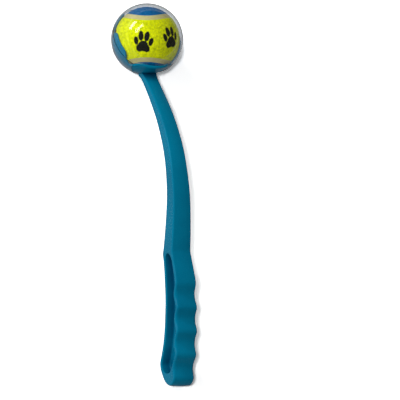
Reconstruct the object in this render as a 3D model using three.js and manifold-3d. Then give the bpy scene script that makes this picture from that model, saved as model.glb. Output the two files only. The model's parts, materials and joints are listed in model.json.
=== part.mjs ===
// Dog ball thrower: a moulded throwing arm whose cup holds a two-colour felt ball under a clear
// two-part cover. Millimetres, +Z up. It lies as on a table, on the clear cover and on the heel of
// the grip, with +X from the cup towards the grip.
import * as THREE from "three";
import { mergeVertices } from "three/addons/utils/BufferGeometryUtils.js";
import Module from "manifold-3d";

// Shared clearances and cutting overrun
const gap = 0.3;
const overrun = 4;

// Ball: rubber core in two halves, two felt panels and the cement seam between them
const ballRadius = 31.5;
const feltThickness = 2.9;
const coreWall = 3.4;
const seamWidth = 3.8;
const seamSink = 0.5;
const seamWaistAngle = 40;
const ballTurn = 25;

// Cup: a thin bowl with five fingers and a low front lip
const ballPlay = 0.55;
const cupWall = 1.8;
const cupTilt = 30;
const rimAngle = 81;
// Each notch in the rim: its place round the cup from the back finger, its half width, its depth,
// all in degrees. A sharper notch leaves a rounder finger beside it.
const fingerNotches = [
  { place: 23, halfWidth: 19, bottom: 117 },
  { place: 68, halfWidth: 19, bottom: 117 },
  { place: 138, halfWidth: 24, bottom: 100 },
];
const notchSharpness = 1.5;

// Clear cover: a front dome and a rear bowl, with a mouth for the arm and the lip parted between them
const coverPlay = 0.45;
const coverWall = 0.5;
const mouthWidth = 41;
const mouthRise = 7;
const mouthPlay = 1;

// Throwing arm and grip, measured in the plane of the arm from the ball's centre
const reach = 333;
const crown = 93.5;
const rootDepth = 7.5;
const shoulderDepth = 21;
const rootWidth = 12.8;
const gripWidth = 21.5;
const edgeRadius = 2;
const partingShare = 0.595;
const fullWidthShare = 0.7;

// Centre line of the arm: shares of the reach and of the crown's height
const armShares = [
  [0.093, -0.027],
  [0.152, 0.198],
  [0.234, 0.463],
  [0.33, 0.668],
  [0.441, 0.77],
  [0.54, 0.765],
  [0.613, 0.734],
];
// Finger side of the grip without its grooves, from the arm to the butt
const fingerShares = [
  [0.613, 0.847],
  [0.649, 0.9],
  [0.703, 0.972],
  [0.772, 1],
  [0.841, 1],
  [0.91, 0.98],
  [0.979, 0.92],
];
// Rounded butt of the grip, from the last bump to the heel
const buttShares = [
  [0.996, 0.862],
  [1, 0.775],
  [0.987, 0.668],
];
// Palm side of the grip, from the heel back to the shoulder where the arm ends
const heelShare = [0.9355, 0.554];
const palmShares = [
  [0.895, 0.616],
  [0.843, 0.665],
  [0.756, 0.687],
  [0.676, 0.659],
  [0.6186, 0.607],
];
const heelLand = 7;

// Finger grooves and the recess in each side of the grip
const grooveCount = 4;
const groovePitch = 22.9;
const grooveDepth = 4.5;
const palmWall = 5;
const fingerWall = 4;
const webThickness = 3;
const recessRound = 9;
const recessStartShare = 0.6186;
const recessEndShare = 0.964;

// Fineness of the round faces
const ballSegments = 36;
const cupSegments = 96;
const ringSteps = 8;
const seamSteps = 72;
const outlineSteps = 20;
const groovePoints = 6;

const degree = Math.PI / 180;
const ballCore = ballRadius - feltThickness - gap;
const cupInner = ballRadius + ballPlay;
const cupOuter = cupInner + cupWall;
const coverInner = cupOuter + coverPlay;
const coverOuter = coverInner + coverWall;

const wasm = await Module();
wasm.setup();

// Closed geometry to a solid, with only its merged positions
function solid(geometry) {
  const bare = new THREE.BufferGeometry();
  bare.setAttribute("position", geometry.getAttribute("position"));
  bare.setIndex(geometry.index);
  const merged = mergeVertices(bare, 1e-3);
  return new wasm.Manifold(
    new wasm.Mesh({
      numProp: 3,
      vertProperties: merged.attributes.position.array,
      triVerts: new Uint32Array(merged.index.array),
    }),
  );
}

// Solid back to geometry
function geometryOf(body) {
  const mesh = body.getMesh();
  const geometry = new THREE.BufferGeometry();
  geometry.setAttribute("position", new THREE.BufferAttribute(mesh.vertProperties, mesh.numProp));
  geometry.setIndex(new THREE.BufferAttribute(mesh.triVerts, 1));
  geometry.computeVertexNormals();
  return geometry;
}

function piece(name, geometry, color, roughness, opacity = 1) {
  const material = new THREE.MeshStandardMaterial({ color, roughness, metalness: 0 });
  material.opacity = opacity;
  material.transparent = opacity < 1;
  const mesh = new THREE.Mesh(geometry, material);
  mesh.name = name;
  return mesh;
}

// Wall of a sphere between two angles from the pole +Z, turned about Z. An angle of 0 or 180
// closes on the axis.
function bowl(inner, outer, fromAngle, toAngle, segments) {
  const profile = [];
  const point = (radius, share) => {
    const angle = (fromAngle + (toAngle - fromAngle) * share) * degree;
    const onAxis = Math.abs(Math.sin(angle)) < Number.EPSILON * 4;
    profile.push(new THREE.Vector2(onAxis ? 0 : radius * Math.sin(angle), radius * Math.cos(angle)));
  };
  for (let i = 0; i <= ringSteps; i++) point(outer, i / ringSteps);
  for (let i = ringSteps; i >= 0; i--) point(inner, i / ringSteps);
  profile.push(profile[0].clone());
  const geometry = new THREE.LatheGeometry(profile, segments);
  geometry.rotateX(Math.PI / 2);
  return geometry;
}

// Faces of a closed lathe point in or out with the run of its profile: turn them out
function facedOut(geometry) {
  const body = solid(geometry);
  if (body.volume() > 0) return body;
  const index = geometry.index.array;
  for (let i = 0; i < index.length; i += 3) [index[i + 1], index[i + 2]] = [index[i + 2], index[i + 1]];
  return solid(geometry);
}

// Angle of the cup's rim from the cup's axis, all the way round; 180 is at the arm
function rimAt(azimuth) {
  const fromBack = Math.abs(azimuth);
  let angle = rimAngle;
  for (const notch of fingerNotches) {
    const share = Math.abs(fromBack - notch.place) / notch.halfWidth;
    if (share >= 1) continue;
    const fall = ((1 + Math.cos(Math.PI * share)) / 2) ** notchSharpness;
    angle = Math.max(angle, rimAngle + (notch.bottom - rimAngle) * fall);
  }
  return angle;
}

// Throwing cup: a bowl drawn down to its scalloped rim
function cupGeometry() {
  const geometry = bowl(cupInner, cupOuter, rimAngle, 180, cupSegments);
  const place = geometry.getAttribute("position");
  const at = new THREE.Vector3();
  for (let i = 0; i < place.count; i++) {
    at.fromBufferAttribute(place, i);
    const radius = at.length();
    const azimuth = Math.atan2(at.y, -at.x) / degree;
    const polar = Math.acos(THREE.MathUtils.clamp(at.z / radius, -1, 1)) / degree;
    const share = (180 - polar) / (180 - rimAngle);
    const drawn = (180 - share * (180 - rimAt(azimuth))) * degree;
    const spread = Math.hypot(at.x, at.y) || 1;
    const out = radius * Math.sin(drawn);
    place.setXYZ(i, (at.x / spread) * out, (at.y / spread) * out, radius * Math.cos(drawn));
  }
  return geometryOf(facedOut(geometry));
}

// Direction of the ball's seam: the closed curve of a tennis ball on the unit sphere
function seamDirection(turn) {
  const waist = Math.sin(seamWaistAngle * degree);
  const wide = (1 + waist) / 2;
  const narrow = (1 - waist) / 2;
  const across = wide * Math.cos(turn) - narrow * Math.cos(3 * turn);
  const along = wide * Math.sin(turn) + narrow * Math.sin(3 * turn);
  return new THREE.Vector3(across, along, 2 * Math.sqrt(wide * narrow) * Math.cos(2 * turn)).normalize();
}

// Closed ring that follows the seam, square in section, between two radii
function seamRing(inner, outer, width) {
  const positions = [];
  const index = [];
  for (let i = 0; i < seamSteps; i++) {
    const turn = (i / seamSteps) * 2 * Math.PI;
    const step = Math.PI / seamSteps;
    const here = seamDirection(turn);
    const side = seamDirection(turn + step).sub(seamDirection(turn - step)).cross(here).normalize();
    for (const [radius, hand] of [[inner, -1], [inner, 1], [outer, 1], [outer, -1]]) {
      const lean = side.clone().multiplyScalar((hand * width) / 2 / radius);
      positions.push(...here.clone().add(lean).normalize().multiplyScalar(radius).toArray());
    }
    const next = ((i + 1) % seamSteps) * 4;
    for (let k = 0; k < 4; k++) {
      const a = i * 4 + k;
      const b = i * 4 + ((k + 1) % 4);
      const c = next + ((k + 1) % 4);
      const d = next + k;
      index.push(a, b, c, a, c, d);
    }
  }
  const geometry = new THREE.BufferGeometry();
  geometry.setAttribute("position", new THREE.Float32BufferAttribute(positions, 3));
  geometry.setIndex(index);
  return facedOut(geometry);
}

// The two felt panels: a shell of felt parted by the seam, the one over the pole +Z first
function feltPanels() {
  const inner = ballCore + gap;
  const shell = solid(new THREE.SphereGeometry(ballRadius, ballSegments, ringSteps * 3)).subtract(
    solid(new THREE.SphereGeometry(inner, ballSegments, ringSteps * 3)),
  );
  const parting = seamRing(inner - overrun, ballRadius + overrun, seamWidth + 2 * gap);
  const panels = shell.subtract(parting).decompose();
  panels.sort((a, b) => b.boundingBox().max[2] - a.boundingBox().max[2]);
  return panels.map(geometryOf);
}

function ball() {
  const group = new THREE.Group();
  const [yellow, blue] = feltPanels();
  const half = bowl(ballCore - coreWall, ballCore, 0, 90, ballSegments);
  const top = geometryOf(facedOut(half).translate([0, 0, gap / 2]));
  const bottom = top.clone().rotateX(Math.PI);
  group.add(
    piece("felt_panel_yellow", yellow, "#c3cf00", 0.95),
    piece("felt_panel_blue", blue, "#005a85", 0.95),
    piece("cement_seam", geometryOf(seamRing(ballCore + gap, ballRadius - seamSink, seamWidth)), "#c8bd79", 0.8),
    piece("core_half_front", top, "#2c2c2c", 0.85),
    piece("core_half_rear", bottom, "#2c2c2c", 0.85),
  );
  group.rotation.x = ballTurn * degree;
  return group;
}

const planePoint = (share) => new THREE.Vector2(share[0] * reach, share[1] * crown);

function smoothLine(shares) {
  return new THREE.SplineCurve(shares.map(planePoint));
}

// Width of the moulding across its plane, growing from the cup to the grip
function widthAt(along) {
  const start = armShares[0][0] * reach;
  const share = THREE.MathUtils.clamp((along - start) / (fullWidthShare * reach - start), 0, 1);
  return rootWidth + (gripWidth - rootWidth) * share;
}

// Points of the arm's edge on one side of its centre line, from the cup to the shoulder
function armEdge(hand) {
  const line = smoothLine(armShares);
  const points = [];
  for (let i = 0; i <= outlineSteps; i++) {
    const share = i / outlineSteps;
    const depth = rootDepth + (shoulderDepth - rootDepth) * share;
    const tangent = line.getTangentAt(share);
    const normal = new THREE.Vector2(-tangent.y, tangent.x).multiplyScalar((hand * depth) / 2);
    points.push(line.getPointAt(share).add(normal));
  }
  return points;
}

// Finger edge of the grip, with its grooves, from the shoulder to the last bump
function fingerEdge() {
  const line = smoothLine(fingerShares);
  const end = planePoint(fingerShares.at(-1)).x;
  const start = end - grooveCount * groovePitch;
  const steps = (grooveCount + 1) * groovePoints;
  return line.getPoints(steps * 2).slice(1).map((point) => {
    const turn = ((point.x - start) / groovePitch) * 2 * Math.PI;
    const dip = point.x > start ? (grooveDepth * (1 - Math.cos(turn))) / 2 : 0;
    return new THREE.Vector2(point.x, point.y - dip);
  });
}

// Tilt at which the cover and the heel touch the table together, and the heel's flat land
const heel = planePoint(heelShare);
const restTilt = Math.atan2(heel.y, heel.x) + Math.asin(coverOuter / heel.length());
const heelEnd = heel.clone().add(
  new THREE.Vector2(Math.cos(restTilt), Math.sin(restTilt)).multiplyScalar(heelLand),
);

function palmEdge() {
  const line = new THREE.SplineCurve([heel, ...palmShares.map(planePoint)]);
  return line.getPoints(outlineSteps);
}

// Closed outline extruded across the plane of the arm, centred on it
function plate(points, width, rounding) {
  const geometry = new THREE.ExtrudeGeometry(new THREE.Shape(points), {
    depth: width - 2 * rounding,
    steps: 1,
    bevelEnabled: rounding > 0,
    bevelThickness: rounding,
    bevelSize: rounding,
    bevelOffset: -rounding,
    bevelSegments: 3,
  });
  geometry.translate(0, 0, rounding - width / 2);
  geometry.rotateX(Math.PI / 2);
  return geometry;
}

// Arm and grip as one tapering bar, before they are parted
function bar() {
  const fingers = fingerEdge();
  const butt = new THREE.SplineCurve([fingers.at(-1), ...buttShares.map(planePoint), heelEnd]);
  const outline = [
    ...armEdge(1).filter((point) => point.x < fingers[0].x),
    ...fingers,
    ...butt.getPoints(outlineSteps / 2).slice(1),
    ...palmEdge(),
    ...armEdge(-1).reverse().filter((point) => point.x < palmShares.at(-1)[0] * reach - edgeRadius),
  ];
  const geometry = plate(outline, gripWidth, edgeRadius);
  const place = geometry.getAttribute("position");
  for (let i = 0; i < place.count; i++) {
    place.setY(i, (place.getY(i) * widthAt(place.getX(i))) / gripWidth);
  }
  return facedOut(indexed(geometry));
}

function indexed(geometry) {
  const bare = new THREE.BufferGeometry();
  bare.setAttribute("position", geometry.getAttribute("position"));
  return mergeVertices(bare, 1e-3);
}

// Height of a run of points above the plane's base line, at one place along it
function heightAt(points, along) {
  const after = points.findIndex((point, i) => i > 0 && (point.x - along) * (points[i - 1].x - along) <= 0);
  const [a, b] = [points[after - 1], points[after]];
  return a.y + ((b.y - a.y) * (along - a.x)) / (b.x - a.x || 1);
}

// Recess in the side of the grip: it keeps an even wall along the palm and the finger grooves
function recessOutline() {
  const fingers = fingerEdge();
  const palm = palmEdge();
  const upper = [];
  const lower = [];
  const recessStart = recessStartShare * reach;
  const recessEnd = recessEndShare * reach;
  const steps = grooveCount * groovePoints * 2;
  for (let i = 0; i <= steps; i++) {
    const along = recessStart + ((recessEnd - recessStart) * i) / steps;
    const nearEnd = Math.min(along - recessStart, recessEnd - along, recessRound) / recessRound;
    const opening = Math.sqrt(1 - (1 - nearEnd) ** 2);
    const top = heightAt(fingers, along) - fingerWall;
    const bottom = (along > heel.x ? heel.y : heightAt(palm, along)) + palmWall;
    const middle = (top + bottom) / 2;
    const half = ((top - bottom) / 2) * opening;
    upper.push(new THREE.Vector2(along, middle + half));
    if (i > 0 && i < steps) lower.push(new THREE.Vector2(along, middle - half));
  }
  return [...upper, ...lower.reverse()];
}

// Box that keeps the part of the bar between two places along it
function keep(from, to) {
  const size = reach * 2;
  const box = new THREE.BoxGeometry(to - from, size, size);
  box.translate((from + to) / 2, 0, 0);
  return solid(box);
}

function armAndGrip() {
  const whole = bar();
  const parting = partingShare * reach;
  const cupSpace = solid(new THREE.SphereGeometry(cupOuter + gap, cupSegments, cupSegments / 2));
  const arm = whole.intersect(keep(0, parting - gap / 2)).subtract(cupSpace);
  const depth = (gripWidth - webThickness) / 2;
  const recess = plate(recessOutline(), depth + overrun, 0);
  const inset = webThickness / 2 + (depth + overrun) / 2;
  let grip = whole.intersect(keep(parting + gap / 2, reach * 2));
  for (const hand of [-1, 1]) {
    grip = grip.subtract(facedOut(indexed(recess.clone().translate(0, hand * inset, 0))));
  }
  return [geometryOf(arm), geometryOf(grip)];
}

// Solid that cuts the cover's mouth on one side of the parting: half an ellipse, up or down from it
function mouth(height) {
  const half = mouthWidth / 2;
  const away = Math.sign(height);
  const outline = new THREE.Shape();
  outline.moveTo(half, -away * overrun);
  outline.lineTo(half, 0);
  outline.absellipse(0, 0, half, Math.abs(height), 0, away * Math.PI, away < 0);
  outline.lineTo(-half, -away * overrun);
  const depth = coverOuter + overrun;
  const cutter = new THREE.ExtrudeGeometry(outline, { depth, bevelEnabled: false, curveSegments: 8 });
  cutter.rotateX(Math.PI / 2);
  cutter.rotateZ(Math.PI / 2);
  return facedOut(indexed(cutter));
}

// Rear half of the clear cover. Its mouth reaches below the arm's root, so that it pulls back off the arm
function rearCover() {
  const shell = facedOut(bowl(coverInner, coverOuter, 90, 180, ballSegments));
  const root = planePoint(armShares[0]).normalize();
  const downCup = Math.acos(root.y * Math.cos(cupTilt * degree) - root.x * Math.sin(cupTilt * degree));
  const mouthDepth = -coverOuter * Math.cos(downCup) + rootDepth / 2 + mouthPlay;
  return geometryOf(shell.subtract(mouth(-mouthDepth)));
}

function frontCover() {
  const shell = facedOut(bowl(coverInner, coverOuter, 0, 90, ballSegments));
  return geometryOf(shell.subtract(mouth(mouthRise)).translate([0, 0, gap]));
}

const plastic = "#067c9b";
const clear = "#eef2f6";
const head = new THREE.Group();
head.rotation.y = -cupTilt * degree;
head.add(
  piece("throwing_cup", cupGeometry(), plastic, 0.3),
  piece("cover_front", frontCover(), clear, 0.05, 0.2),
  piece("cover_rear", rearCover(), clear, 0.05, 0.2),
);

const [armShape, gripShape] = armAndGrip();
const thrower = new THREE.Group();
thrower.rotation.y = restTilt;
thrower.add(head, ball(), piece("arm", armShape, plastic, 0.3), piece("grip", gripShape, plastic, 0.3));

// The origin is under the middle of the whole thing, on the table
const part = new THREE.Group();
part.add(thrower);
part.updateMatrixWorld(true);
const extent = new THREE.Box3().setFromObject(part, true);
thrower.position.set(-(extent.min.x + extent.max.x) / 2, 0, -extent.min.z);
part.updateMatrixWorld(true);

export default part;
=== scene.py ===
# Dog ball thrower: a moulded teal arm whose cup holds a felt ball under a clear cover.
import json
import math

import bmesh
import bpy
import numpy as np
from mathutils import Matrix, Vector
from mathutils.geometry import delaunay_2d_cdt


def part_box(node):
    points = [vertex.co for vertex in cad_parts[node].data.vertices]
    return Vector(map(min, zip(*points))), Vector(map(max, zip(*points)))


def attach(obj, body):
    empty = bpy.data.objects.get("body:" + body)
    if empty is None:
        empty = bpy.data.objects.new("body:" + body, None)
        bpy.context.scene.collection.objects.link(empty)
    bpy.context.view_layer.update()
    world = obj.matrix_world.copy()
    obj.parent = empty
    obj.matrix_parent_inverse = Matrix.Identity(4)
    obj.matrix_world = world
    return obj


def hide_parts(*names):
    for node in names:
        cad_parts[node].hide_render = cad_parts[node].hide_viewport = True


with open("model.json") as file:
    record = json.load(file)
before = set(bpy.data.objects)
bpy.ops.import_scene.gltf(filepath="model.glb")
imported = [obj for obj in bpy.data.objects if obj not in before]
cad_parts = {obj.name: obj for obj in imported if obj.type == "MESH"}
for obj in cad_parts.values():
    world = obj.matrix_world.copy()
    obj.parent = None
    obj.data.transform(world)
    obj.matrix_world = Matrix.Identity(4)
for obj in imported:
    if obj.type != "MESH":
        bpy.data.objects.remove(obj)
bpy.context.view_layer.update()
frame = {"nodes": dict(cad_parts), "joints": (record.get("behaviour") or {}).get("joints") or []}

# Where the thrower lies: the ball's centre is the middle of its felt, and the arm's plane is tipped
# about Y until the cover and the grip's heel touch the table together. Sizes are in millimetres, along
# the arm, across it and up from the ball's centre.
MM = 0.001
CUP_TILT = math.radians(30)
yellow_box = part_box("felt_panel_yellow")
blue_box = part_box("felt_panel_blue")
ball_low = np.minimum(yellow_box[0], blue_box[0])
ball_high = np.maximum(yellow_box[1], blue_box[1])
ball_centre = (ball_low + ball_high) / 2
joints = {joint["name"]: joint for joint in frame["joints"]}
axis_x, _, axis_z = joints["ball_release"]["axis"]
rest_tilt = math.atan2(axis_x, axis_z) + CUP_TILT
tip_over = np.array(Matrix.Rotation(rest_tilt, 3, "Y"))


def to_row(points, turn=np.eye(3)):
    """Points in millimetres about the ball's centre, first turned there, to metres in the row frame."""
    return ball_centre + np.asarray(points, float) @ (tip_over @ turn).T * MM


def new_object(name, data):
    """A new object in the scene, at the origin, for a mesh, a lamp or the camera."""
    made = bpy.data.objects.new(name, data)
    bpy.context.scene.collection.objects.link(made)
    return made


# Camera: the photo looks across the arm's plane from its finger side, far enough off to be nearly flat.
# The ball's centre in the photo and the millimetres in a pixel set the aim and the lens.
CAMERA_DISTANCE = 6.0
CAMERA_ROLL = math.radians(25)
PHOTO_PIXELS = 400
MM_PER_PIXEL = 0.966
BALL_PIXEL_X = 147
BALL_PIXEL_Y = 39.4
SENSOR_MM = 36
view_back = Vector(tip_over @ (0, -math.sin(CAMERA_ROLL), math.cos(CAMERA_ROLL)))
view_up = Vector(tip_over @ (-1, 0, 0))
view_right = view_up.cross(view_back)
half_photo = PHOTO_PIXELS / 2
aim = Vector(ball_centre)
aim += view_right * (half_photo - BALL_PIXEL_X) * MM_PER_PIXEL * MM
aim += view_up * (BALL_PIXEL_Y - half_photo) * MM_PER_PIXEL * MM
camera_data = bpy.data.cameras.new("camera")
camera_data.sensor_width = SENSOR_MM
camera_data.lens = SENSOR_MM * CAMERA_DISTANCE / (PHOTO_PIXELS * MM_PER_PIXEL * MM)
camera = new_object("camera", camera_data)
facing = Matrix((view_right, view_up, view_back)).transposed().to_4x4()
camera.matrix_world = Matrix.Translation(aim + view_back * CAMERA_DISTANCE) @ facing
bpy.context.scene.camera = camera
bpy.context.scene.view_settings.view_transform = "Standard"


# Throwing moulding: cup, arm and grip are one injection moulding in teal polypropylene. The bar's edges
# and the recess in each side of the grip are rounded, and its root flares into the back of the cup.
# Main sizes, and the arm's shares of them.
REACH = 333
CROWN = 93.5
ROOT_DEPTH = 7.5
SHOULDER_DEPTH = 21
ROOT_WIDTH = 12.8
GRIP_WIDTH = 21.5
FULL_WIDTH_SHARE = 0.7
HEEL_LAND = 7
arm_shares = [(0.093, -0.027), (0.152, 0.198), (0.234, 0.463), (0.33, 0.668), (0.441, 0.77), (0.54, 0.765),
              (0.613, 0.734)]
finger_shares = [(0.613, 0.847), (0.649, 0.9), (0.703, 0.972), (0.772, 1), (0.841, 1), (0.91, 0.98),
                 (0.979, 0.92)]
butt_shares = [(0.996, 0.862), (1, 0.775), (0.987, 0.668)]
heel_share = (0.9355, 0.554)
palm_shares = [(0.895, 0.616), (0.843, 0.665), (0.756, 0.687), (0.676, 0.659), (0.6186, 0.607)]
# Finger grooves, and the recess in each side.
GROOVES = 4
GROOVE_PITCH = 22.9
GROOVE_DEPTH = 4.5
GROOVE_FULLNESS = 0.75
PALM_WALL = 5
FINGER_WALL = 4
WEB = 3
RECESS_ROUND = 9
RECESS_SHARES = (0.6186, 0.964)
WALL_DRAFT = 0.5
# Roundings, and the flare at the root.
EDGE_RADIUS = 1.5
EDGE_SUPPORT = 0.15
EDGE_ROOM = 0.3
FACE_CROWN = 0.5
GROOVE_INSET = 0.5
GROOVE_ROUND = 2.5
RIM_RADIUS = 0.7
FLOOR_RADIUS = 2
ROOT_RADIUS = 32.3
ROOT_BLEND = 7
ROOT_EDGE_SHARE = 0.25
ROOT_FLARE = 4
FLARE_LENGTH = 4
FLARE_FROM = 31.5
# How finely the mesh follows them.
SPAN_STEPS = 60
ARM_POINTS = 120
FINGER_POINTS = 200
BUTT_POINTS = 30
PALM_POINTS = 120
RECESS_POINTS = 240
OUTLINE_STEP = 1.3
OUTLINE_SOFTNESS = 1.6
RECESS_STEP = 1.0
RECESS_SOFTNESS = 0.9
CORNER_REACH = 2.6
NEIGHBOURS = 6
FACE_STEP = 5
FACE_CLEARANCE = 0.4
ROUND_POINTS = 7
BAND_REACH = 0.75
BAND_ROWS = 7
WALL_DROPS = (0.3, 0.6, 0.9)
SAME_SPOT = 1e-6
WELD_METRES = 1e-6


def spline(points, count):
    """Evenly spaced points on a smooth line through the given ones."""
    points = np.asarray(points, float)
    padded = np.vstack([points[0], points, points[-1]])
    fine = []
    for p0, p1, p2, p3 in zip(padded, padded[1:], padded[2:], padded[3:]):
        t = np.linspace(0, 1, SPAN_STEPS, endpoint=False)[:, None]
        v0 = (p2 - p0) / 2
        v1 = (p3 - p1) / 2
        fine.append((2 * p1 - 2 * p2 + v0 + v1) * t**3 + (3 * p2 - 3 * p1 - 2 * v0 - v1) * t**2 + v0 * t + p1)
    return resample(np.vstack([*fine, points[-1:]]), count)


def resample(line, count):
    """The same line with its points evenly spaced."""
    run = np.concatenate([[0], np.cumsum(np.linalg.norm(np.diff(line, axis=0), axis=1))])
    at = np.linspace(0, run[-1], count)
    return np.stack([np.interp(at, run, line[:, k]) for k in range(line.shape[1])], axis=1)


def scaled(shares):
    """Shares of the moulding's reach and crown as millimetres."""
    return np.asarray(shares, float) * (REACH, CROWN)


def outward(loop):
    """Outward normals of a closed loop that runs counter-clockwise."""
    along = np.roll(loop, -1, axis=0) - np.roll(loop, 1, axis=0)
    normal = np.stack([along[:, 1], -along[:, 0]], axis=1)
    return normal / np.linalg.norm(normal, axis=1)[:, None]


def neighbours(step, reach):
    """The points next to one on a loop, with weights that fall off over about reach."""
    spread = np.arange(-NEIGHBOURS, NEIGHBOURS + 1)
    return spread, np.exp(-((spread * step / reach) ** 2) / 2)


def eased(normal, step, reach):
    """Normals averaged along a loop over about reach, so that no inset crosses itself at a corner."""
    spread, weight = neighbours(step, reach)
    mixed = sum(w * np.roll(normal, k, axis=0) for k, w in zip(spread, weight))
    return mixed / np.linalg.norm(mixed, axis=1)[:, None]


def softened(loop, step, reach):
    """A closed loop spaced evenly by about step, its corners rounded over about reach."""
    closed = np.vstack([loop, loop[:1]])
    length = np.linalg.norm(np.diff(closed, axis=0), axis=1).sum()
    even = resample(closed, int(length / step) + 1)[:-1]
    spread, weight = neighbours(step, reach)
    weight /= weight.sum()
    return sum(w * np.roll(even, k, axis=0) for k, w in zip(spread, weight))


def half_width(along):
    """Half the moulding's width, growing to the grip and flared where it meets the cup."""
    start = arm_shares[0][0] * REACH
    share = np.clip((along - start) / (FULL_WIDTH_SHARE * REACH - start), 0, 1)
    flare = ROOT_FLARE / 2 * np.exp(-np.maximum(along - FLARE_FROM, 0) / FLARE_LENGTH)
    return (ROOT_WIDTH + (GRIP_WIDTH - ROOT_WIDTH) * share) / 2 + flare


arm_line = spline(scaled(arm_shares), ARM_POINTS)
arm_run = np.linspace(0, 1, len(arm_line))[:, None]
arm_tangent = np.gradient(arm_line, axis=0)
arm_tangent /= np.linalg.norm(arm_tangent, axis=1)[:, None]
arm_length = np.linalg.norm(np.diff(arm_line, axis=0), axis=1).sum()
arm_depth = ROOT_DEPTH + (SHOULDER_DEPTH - ROOT_DEPTH) * arm_run
arm_depth += ROOT_FLARE * np.exp(-arm_run * arm_length / FLARE_LENGTH)
arm_side = np.stack([-arm_tangent[:, 1], arm_tangent[:, 0]], axis=1) * arm_depth / 2
arm_top = arm_line + arm_side
arm_under = arm_line - arm_side

fingers = spline(scaled(finger_shares), FINGER_POINTS)
groove_end = finger_shares[-1][0] * REACH
groove_start = groove_end - GROOVES * GROOVE_PITCH
groove_turn = (fingers[:, 0] - groove_start) / GROOVE_PITCH * 2 * math.pi
groove_dip = ((1 - np.cos(groove_turn)) / 2) ** GROOVE_FULLNESS
fingers[:, 1] -= np.where(fingers[:, 0] > groove_start, GROOVE_DEPTH * groove_dip, 0)
heel = scaled(heel_share)
heel_end = heel + HEEL_LAND * np.array([math.cos(rest_tilt), math.sin(rest_tilt)])
butt = spline([fingers[-1], *scaled(butt_shares), heel_end], BUTT_POINTS)
palm = spline([heel, *scaled(palm_shares)], PALM_POINTS)
bar_loop = np.vstack([
    arm_top[arm_top[:, 0] < fingers[0, 0]],
    fingers,
    butt[1:],
    palm,
    arm_under[::-1][arm_under[::-1, 0] < palm[-1, 0] - EDGE_RADIUS],
])[::-1]
bar_loop = softened(bar_loop, OUTLINE_STEP, OUTLINE_SOFTNESS)
root_distance = np.linalg.norm(bar_loop, axis=1)
bar_loop *= (np.maximum(root_distance, ROOT_RADIUS) / root_distance)[:, None]

recess_from, recess_to = (share * REACH for share in RECESS_SHARES)
recess_at = np.linspace(recess_from, recess_to, RECESS_POINTS)
near_end = np.minimum(np.minimum(recess_at - recess_from, recess_to - recess_at), RECESS_ROUND) / RECESS_ROUND
recess_open = np.sqrt(1 - (1 - near_end) ** 2)
recess_top = np.interp(recess_at, fingers[:, 0], fingers[:, 1]) - FINGER_WALL
recess_low = np.interp(recess_at, palm[::-1, 0], palm[::-1, 1]) + PALM_WALL
recess_middle = (recess_top + recess_low) / 2
recess_half = (recess_top - recess_low) / 2 * recess_open
recess_loop = np.vstack([
    np.stack([recess_at, recess_middle - recess_half], axis=1),
    np.stack([recess_at, recess_middle + recess_half], axis=1)[::-1][1:-1],
])
recess_loop = softened(recess_loop, RECESS_STEP, RECESS_SOFTNESS)


def inside(loop, points):
    """True for each point that lies within a closed loop."""
    x, y = points[:, 0:1], points[:, 1:2]
    x0, y0 = loop[:, 0], loop[:, 1]
    x1, y1 = np.roll(x0, -1), np.roll(y0, -1)
    crosses = (y0 > y) != (y1 > y)
    with np.errstate(divide="ignore", invalid="ignore"):
        where = x0 + (y - y0) * (x1 - x0) / (y1 - y0)
    return (crosses & (x < where)).sum(axis=1) % 2 == 1


def filled(outer, hole, step):
    """Points and triangles that fill a loop, around a hole if there is one."""
    loops = [outer] if hole is None else [outer, hole]
    low, high = outer.min(axis=0), outer.max(axis=0)
    grid = np.stack(np.meshgrid(np.arange(low[0], high[0], step), np.arange(low[1], high[1], step)), -1)
    grid = grid.reshape(-1, 2)
    edge = np.vstack(loops)
    clear = np.linalg.norm(grid[:, None] - edge[None], axis=2).min(axis=1) > step * FACE_CLEARANCE
    grid = grid[clear & inside(outer, grid)]
    if hole is not None:
        grid = grid[~inside(hole, grid)]
    points = np.vstack([edge, grid])
    links = []
    start = 0
    for loop in loops:
        count = len(loop)
        links += [(start + i, start + (i + 1) % count) for i in range(count)]
        start += count
    made = delaunay_2d_cdt([Vector(p) for p in points], links, [], 0, SAME_SPOT)
    spots = np.array([tuple(v) for v in made[0]])
    faces = np.array(made[2])
    middles = spots[faces].mean(axis=1)
    keep = inside(outer, middles)
    if hole is not None:
        keep &= ~inside(hole, middles)
    return spots, faces[keep]


def closed_mesh(name, points, faces, weld=WELD_METRES):
    """A smooth closed object from points in metres, its faces turned outwards."""
    mesh = bpy.data.meshes.new(name)
    mesh.from_pydata([tuple(p) for p in points], [], [tuple(int(i) for i in f) for f in faces])
    made = bmesh.new()
    made.from_mesh(mesh)
    bmesh.ops.remove_doubles(made, verts=made.verts, dist=weld)
    loose = [v for v in made.verts if not v.link_faces]
    bmesh.ops.delete(made, geom=loose, context="VERTS")
    bmesh.ops.recalc_face_normals(made, faces=made.faces)
    made.to_mesh(mesh)
    made.free()
    mesh.shade_smooth()
    return new_object(name, mesh)


def strips(rings, count):
    """Quads between rings of count points each, numbered one ring after the other."""
    faces = []
    for a in range(rings - 1):
        for i in range(count):
            j = (i + 1) % count
            faces.append((a * count + i, a * count + j, (a + 1) * count + j, (a + 1) * count + i))
    return faces


def plate_point(loop, normal, inset, down, hand):
    """Points inset from a loop, down millimetres below the bar's side face on one hand."""
    flat = loop - normal * np.reshape(inset, (-1, 1))
    across = hand * (half_width(flat[:, 0]) - down)
    return np.stack([flat[:, 0], across, flat[:, 1]], axis=1)


def web_point(loop, normal, inset, above, hand):
    """Points inset from a loop, above millimetres over the web between the two recesses."""
    flat = loop - normal * inset
    return np.stack([flat[:, 0], np.full(len(flat), hand * (WEB / 2 + above)), flat[:, 1]], axis=1)


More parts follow.
